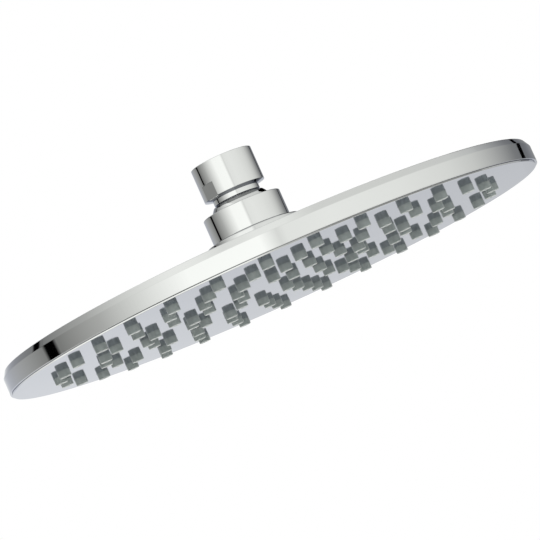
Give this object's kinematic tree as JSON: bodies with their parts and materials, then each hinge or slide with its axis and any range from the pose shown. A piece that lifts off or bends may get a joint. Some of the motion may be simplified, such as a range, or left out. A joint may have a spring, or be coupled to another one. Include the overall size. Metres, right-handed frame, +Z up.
{
  "type": "rain shower head",
  "caption": "Round flat rain shower head: chromed shallow body, mirror face plate with soft grey nozzles, and a ball swivel whose threaded nut screws onto a shower arm.",
  "frame": {"origin": "on the inlet axis at the upper end of the thread wall, 0.8 mm inside the nut's mouth", "axes": "+Z up along the inlet axis, out of the nut's mouth; -Y toward the picture's camera; +X to the picture's right"},
  "size_m": [0.23, 0.23, 0.0578],
  "materials": {
    "chrome_brass": "polished chrome plate on brass",
    "chrome_abs": "polished chrome plate on ABS",
    "grey_silicone": "satin grey silicone",
    "black_rubber": "matte black rubber",
    "steel_mesh": "plain stainless steel",
    "regulator_plastic": "natural moulded acetal",
    "acetal": "natural moulded acetal",
    "keeper_plastic": "moulded ABS, unplated",
    "screw_steel": "plain stainless steel"
  },
  "bodies": {
    "inlet": {"inlet_nut": "chrome_brass", "filter_gasket": "black_rubber", "filter_screen": "steel_mesh", "flow_regulator": "regulator_plastic", "regulator_o_ring": "black_rubber", "ball_stud": "chrome_brass"},
    "seat": {"seat_ring": "acetal"},
    "head": {"collar_nut": "chrome_abs", "ball_seal": "black_rubber", "back_cover": "chrome_abs", "chamber_seal": "black_rubber", "retaining_plate": "keeper_plastic", "plate_screws": "screw_steel", "nozzle_mat": "grey_silicone", "face_plate": "chrome_abs"}
  },
  "joints": [
    {"name": "head_tilt", "type": "hinge", "parent": "inlet", "child": "seat", "pos_m": [0, 0, -0.0262], "axis": [1, 0, 0], "range_deg": [-15, 15]},
    {"name": "head_turn", "type": "hinge", "parent": "seat", "child": "head", "pos_m": [0, 0, -0.0262], "axis": [0, 0, 1], "continuous": true}
  ]
}
